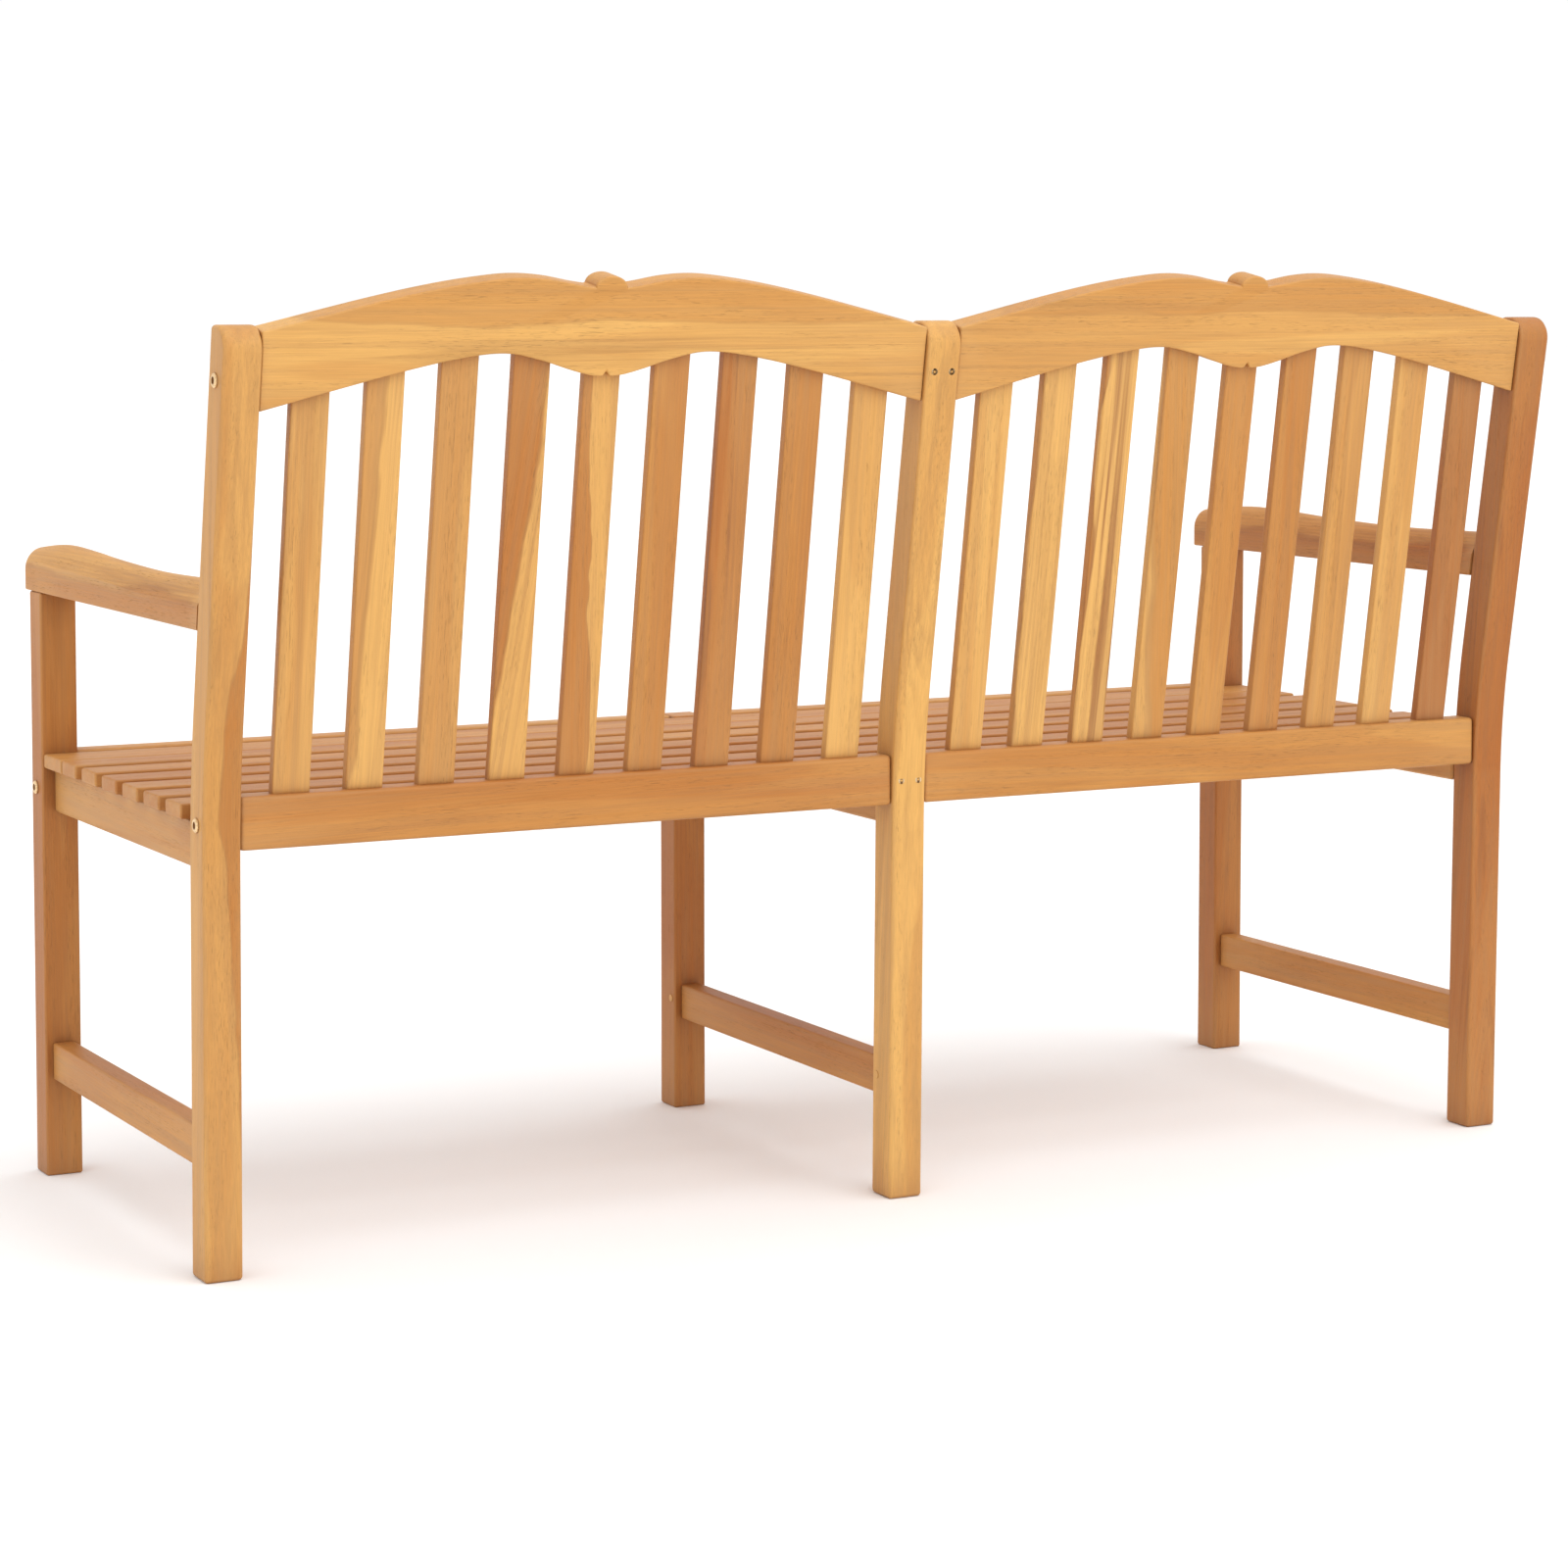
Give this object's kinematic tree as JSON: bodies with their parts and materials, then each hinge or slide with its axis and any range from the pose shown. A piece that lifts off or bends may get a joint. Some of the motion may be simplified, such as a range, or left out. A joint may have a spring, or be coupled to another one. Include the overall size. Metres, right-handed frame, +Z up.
{
  "type": "garden bench",
  "caption": "Oiled wooden garden bench with a raked slatted back, double-wave crest rails, rounded armrests and a long slatted seat.",
  "frame": {"origin": "on the ground, under the middle of the bench's overall box", "axes": "+Z up; +X towards the sitter's left end; -Y the way the sitter faces"},
  "size_m": [1.505, 0.6382, 0.9451],
  "materials": {
    "frame_wood": "oiled teak, satin, grain along each post and leg",
    "rail_wood": "oiled teak, satin, grain along each rail",
    "slat_wood": "oiled teak, satin, colour varies from straw to red brown",
    "seat_wood": "oiled teak, satin, grain along each slat",
    "arm_wood": "oiled teak, satin, grain along the arm",
    "peg_wood": "pale end grain",
    "bolt_zinc": "yellow zinc plate, satin",
    "screw_steel": "weathered zinc plate"
  },
  "bodies": {
    "root": {"armrest_left": "arm_wood", "armrest_right": "arm_wood", "back_slat_left_1": "slat_wood", "back_slat_left_2": "slat_wood", "back_slat_left_3": "slat_wood", "back_slat_left_4": "slat_wood", "back_slat_left_5": "slat_wood", "back_slat_left_6": "slat_wood", "back_slat_left_7": "slat_wood", "back_slat_left_8": "slat_wood", "back_slat_left_9": "slat_wood", "back_slat_right_1": "slat_wood", "back_slat_right_2": "slat_wood", "back_slat_right_3": "slat_wood", "back_slat_right_4": "slat_wood", "back_slat_right_5": "slat_wood", "back_slat_right_6": "slat_wood", "back_slat_right_7": "slat_wood", "back_slat_right_8": "slat_wood", "back_slat_right_9": "slat_wood", "crest_rail_left": "rail_wood", "crest_rail_right": "rail_wood", "frame_bolt_crest_left": "bolt_zinc", "frame_bolt_crest_right": "bolt_zinc", "frame_bolt_front_rail_left": "bolt_zinc", "frame_bolt_front_rail_right": "bolt_zinc", "frame_bolt_rear_rail_left": "bolt_zinc", "frame_bolt_rear_rail_right": "bolt_zinc", "front_leg_left": "frame_wood", "front_leg_middle": "frame_wood", "front_leg_right": "frame_wood", "front_seat_rail_left": "rail_wood", "front_seat_rail_right": "rail_wood", "rear_post_left": "frame_wood", "rear_post_middle": "frame_wood", "rear_post_right": "frame_wood", "rear_seat_rail_left": "rail_wood", "rear_seat_rail_right": "rail_wood", "seat_bearer_middle": "rail_wood", "seat_end_rail_left": "rail_wood", "seat_end_rail_right": "rail_wood", "seat_slat_1": "seat_wood", "seat_slat_2": "seat_wood", "seat_slat_3": "seat_wood", "seat_slat_4": "seat_wood", "seat_slat_5": "seat_wood", "seat_slat_6": "seat_wood", "seat_slat_7": "seat_wood", "stretcher_left": "rail_wood", "stretcher_middle": "rail_wood", "stretcher_peg_front": "peg_wood", "stretcher_peg_rear": "peg_wood", "stretcher_right": "rail_wood", "tenon_screw_crest_left": "screw_steel", "tenon_screw_crest_right": "screw_steel", "tenon_screw_front_rail_left": "screw_steel", "tenon_screw_front_rail_right": "screw_steel", "tenon_screw_rear_rail_left": "screw_steel", "tenon_screw_rear_rail_right": "screw_steel"}
  },
  "joints": []
}
